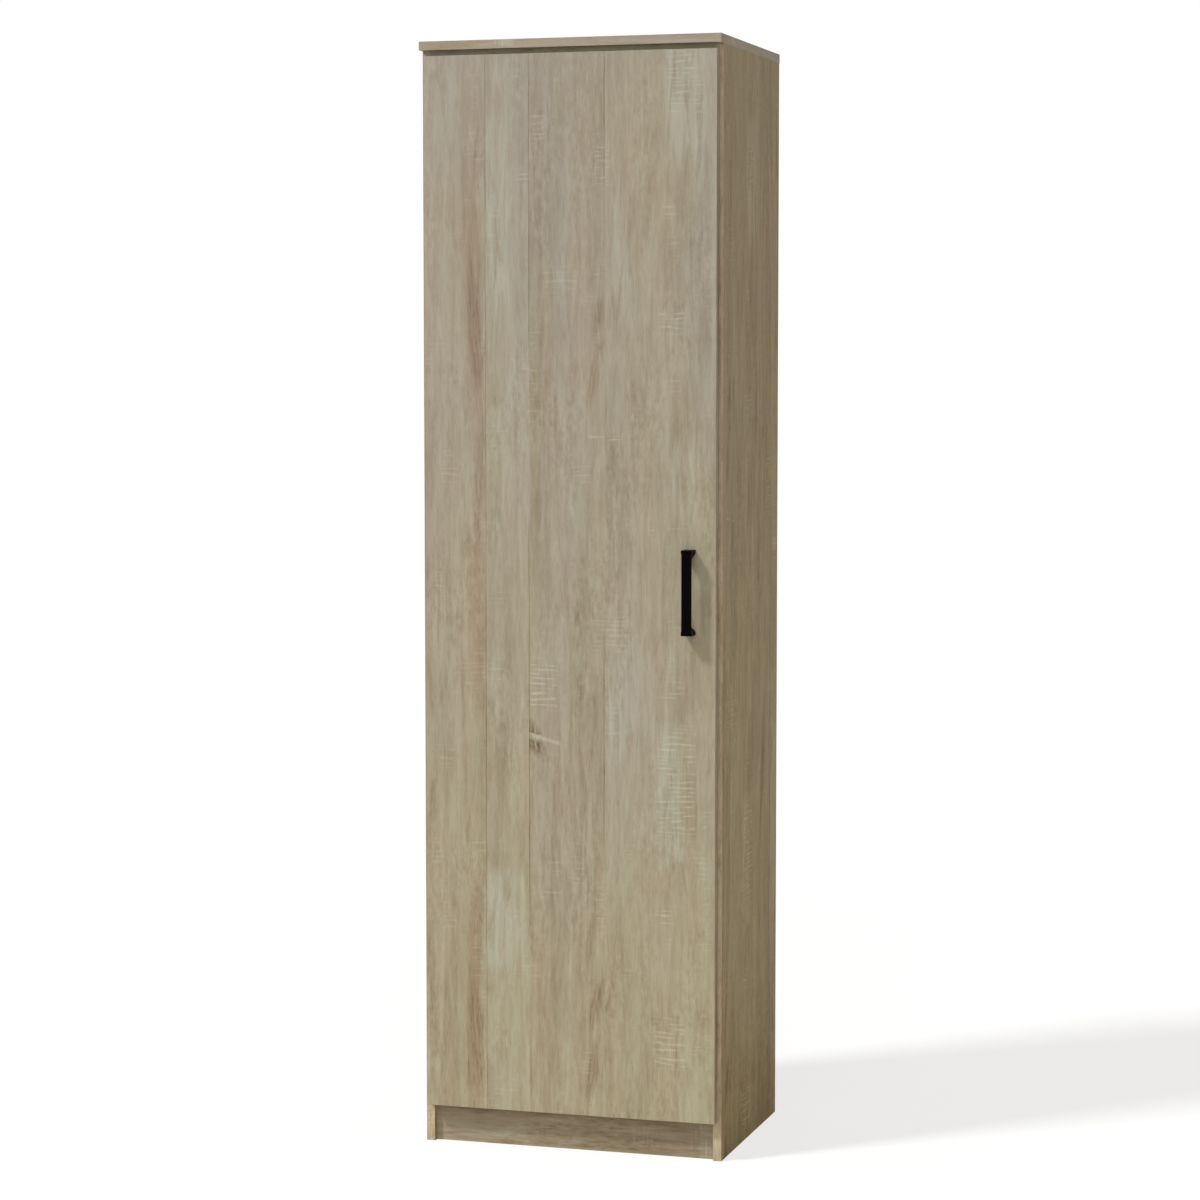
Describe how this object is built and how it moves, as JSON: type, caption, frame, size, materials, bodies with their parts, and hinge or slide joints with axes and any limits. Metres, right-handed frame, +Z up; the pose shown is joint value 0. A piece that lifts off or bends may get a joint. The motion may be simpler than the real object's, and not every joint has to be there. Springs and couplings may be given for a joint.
{
  "type": "storage cabinet",
  "caption": "Tall narrow storage cabinet with one flat side-hung door, bow handle, loose and fixed shelves, recessed plinth and overhanging top board.",
  "frame": {"origin": "on the floor under the middle of the overall box, handle included", "axes": "+X along the width to the handle side, -Y out of the door, +Z up"},
  "size_m": [0.54, 0.439, 1.93],
  "materials": {
    "oak_board": "matt light grey-beige oak decor on particle board",
    "hardboard": "plain brown hardboard, smooth outside",
    "beech": "raw fluted dowel",
    "black_handle": "matt black",
    "nickel_steel": "nickel plated",
    "zinc_steel": "zinc plated",
    "zinc_alloy": "raw die cast",
    "white_plastic": "extruded",
    "clear_buffer": "soft clear bumper"
  },
  "bodies": {
    "carcass": {"back_joint_strip": "white_plastic", "back_panel_lower": "hardboard", "back_panel_nails": "zinc_steel", "back_panel_upper": "hardboard", "bottom_board": "oak_board", "bracket_screws": "zinc_steel", "cam_bolts": "zinc_steel", "cam_locks": "zinc_alloy", "fixed_shelf": "oak_board", "hinge_arm_bottom": "nickel_steel", "hinge_arm_lower": "nickel_steel", "hinge_arm_pins": "nickel_steel", "hinge_arm_screws": "zinc_steel", "hinge_arm_top": "nickel_steel", "hinge_arm_upper": "nickel_steel", "hinge_plate_bottom": "nickel_steel", "hinge_plate_lower": "nickel_steel", "hinge_plate_screws": "zinc_steel", "hinge_plate_top": "nickel_steel", "hinge_plate_upper": "nickel_steel", "plinth_board": "oak_board", "plinth_rear_rail": "oak_board", "shelf_four": "oak_board", "shelf_one": "oak_board", "shelf_pins_four": "nickel_steel", "shelf_pins_one": "nickel_steel", "shelf_pins_three": "nickel_steel", "shelf_pins_two": "nickel_steel", "shelf_three": "oak_board", "shelf_two": "oak_board", "side_panel_left": "oak_board", "side_panel_right": "oak_board", "top_board": "oak_board", "top_front_rail": "oak_board", "wall_bracket": "zinc_steel", "wood_dowels": "beech"},
    "door": {"door_panel": "oak_board", "handle": "black_handle", "handle_screws": "zinc_steel", "door_buffers": "clear_buffer", "hinge_cup_pins": "nickel_steel", "hinge_cup_screws": "zinc_steel", "hinge_cup_bottom": "nickel_steel", "hinge_cup_lower": "nickel_steel", "hinge_cup_upper": "nickel_steel", "hinge_cup_top": "nickel_steel"},
    "arm_links": {"hinge_arm_link_bottom": "nickel_steel", "hinge_arm_link_lower": "nickel_steel", "hinge_arm_link_upper": "nickel_steel", "hinge_arm_link_top": "nickel_steel", "hinge_knee_pins": "nickel_steel"},
    "cup_links": {"hinge_cup_link_bottom": "nickel_steel", "hinge_cup_link_lower": "nickel_steel", "hinge_cup_link_upper": "nickel_steel", "hinge_cup_link_top": "nickel_steel"}
  },
  "joints": [
    {"name": "door_swing", "type": "hinge", "parent": "carcass", "child": "door", "pos_m": [-0.2575, -0.1835, 0.9865], "axis": [0, 0, -1], "range_deg": [0, 95]},
    {"name": "arm_link_swing", "type": "hinge", "parent": "carcass", "child": "arm_links", "pos_m": [-0.242, -0.1645, 0.9865], "axis": [0, 0, -1], "range_deg": [0, 95]},
    {"name": "cup_link_swing", "type": "hinge", "parent": "door", "child": "cup_links", "pos_m": [-0.239, -0.182, 0.9865], "axis": [0, 0, -1], "range_deg": [-95, 0]}
  ],
  "couplings": [
    {"joint": "arm_link_swing", "follows": "door_swing", "ratio": 1},
    {"joint": "cup_link_swing", "follows": "door_swing", "ratio": -1}
  ]
}
